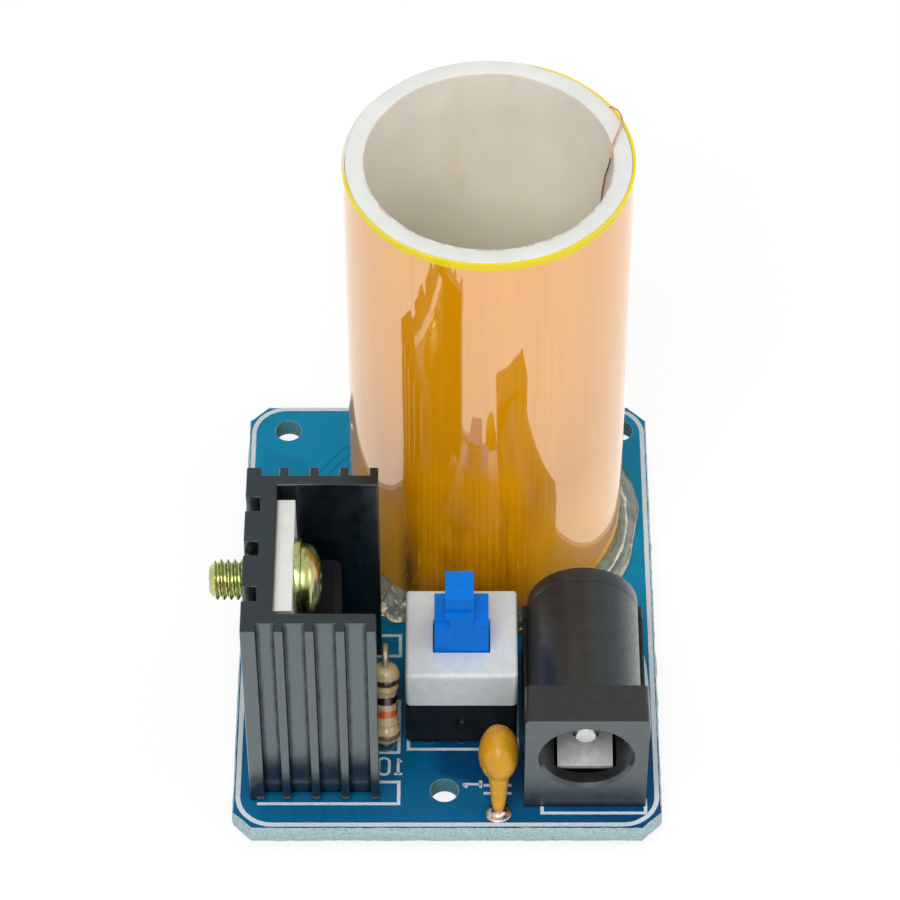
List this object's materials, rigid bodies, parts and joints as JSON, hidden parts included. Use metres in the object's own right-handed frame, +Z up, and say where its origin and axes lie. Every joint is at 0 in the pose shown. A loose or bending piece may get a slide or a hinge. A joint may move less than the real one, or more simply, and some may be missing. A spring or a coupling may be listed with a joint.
{
  "type": "desktop resonant transformer",
  "caption": "Small high-voltage demonstration coil: wound tube on a circuit board with heat sink, power transistor, latching push switch and round power socket.",
  "frame": {"origin": "centre of the part's outline box, in the plane that the solder joints stand on", "axes": "+Z up along the coil axis, +Y from the power socket's open front to the rear of the board, +X to the right seen from the front, away from the heat sink"},
  "size_m": [0.0332, 0.042, 0.0432],
  "materials": {
    "board_mask": "glossy blue solder mask on glass laminate",
    "masked_track": "copper under glossy blue mask",
    "tinned_pad": "tinned copper",
    "solder": "smooth tin solder",
    "former_plastic": "smooth off-white plastic tube",
    "enamelled_wire": "enamelled copper wire, close wound",
    "amber_film": "glossy amber film, clear",
    "hot_glue": "milky hot-melt glue",
    "black_aluminium": "black anodised, satin",
    "tinned_tab": "tinned copper tab, satin",
    "black_moulding": "matte moulded epoxy",
    "silicon": "polished silicon chip",
    "tinned_lead": "tinned wire and sheet",
    "zinc_screw": "yellow zinc plate",
    "resistor_lacquer": "glossy beige lacquer with colour bands",
    "ceramic_core": "dense ceramic",
    "capacitor_dip": "glossy ochre dip coating",
    "switch_black": "matte black moulding",
    "switch_white": "satin white moulding",
    "switch_blue": "satin blue moulding",
    "contact_brass": "stamped spring brass",
    "spring_steel": "drawn spring wire",
    "socket_black": "matte black moulding, finely speckled",
    "socket_metal": "nickel plate"
  },
  "bodies": {
    "board": {"circuit_board": "board_mask", "primary_coil": "masked_track", "component_pads": "tinned_pad", "solder_joints": "solder", "coil_former": "former_plastic", "secondary_winding": "enamelled_wire", "insulation_film": "amber_film", "winding_top_lead": "enamelled_wire", "winding_bottom_lead": "enamelled_wire", "glue_bead": "hot_glue", "heat_sink": "black_aluminium", "transistor_tab": "tinned_tab", "transistor_body": "black_moulding", "transistor_leads": "tinned_lead", "transistor_die": "silicon", "clamp_screw": "zinc_screw", "screw_washer": "zinc_screw", "resistor_body": "resistor_lacquer", "resistor_core": "ceramic_core", "resistor_leads": "tinned_lead", "capacitor_body": "capacitor_dip", "capacitor_element": "ceramic_core", "capacitor_leads": "tinned_lead", "switch_base": "switch_black", "switch_cover": "switch_white", "switch_return_spring": "spring_steel", "switch_terminals": "tinned_lead", "socket_housing": "socket_black", "socket_rear_cover": "socket_black", "socket_center_pin": "socket_metal", "socket_sleeve_terminal": "tinned_lead", "socket_break_terminal": "tinned_lead"},
    "plunger": {"switch_plunger": "switch_blue", "switch_contact_clips": "contact_brass"},
    "latch": {"switch_latch_pin": "spring_steel"},
    "leaf": {"socket_leaf_contact": "socket_metal"}
  },
  "joints": [
    {"name": "plunger_press", "type": "slide", "parent": "board", "child": "plunger", "axis": [0, 0, -1], "range_m": [0, 0.0024], "stiffness_N_per_m": 600, "springref_m": -0.001, "deforming": ["switch_return_spring"]},
    {"name": "latch_swing", "type": "hinge", "parent": "board", "child": "latch", "pos_m": [0.00419, -0.00888, 0.0045], "axis": [1, 0, 0], "range_deg": [0, 8]},
    {"name": "leaf_flex", "type": "hinge", "parent": "board", "child": "leaf", "pos_m": [0.01077, -0.0107, 0.0044], "axis": [1, 0, 0], "range_deg": [0, 8], "stiffness_Nm_per_rad": 0.07, "springref_deg": -2.86}
  ],
  "couplings": [
    {"joint": "latch_swing", "follows": "plunger_press", "rad_per_m": 58}
  ]
}
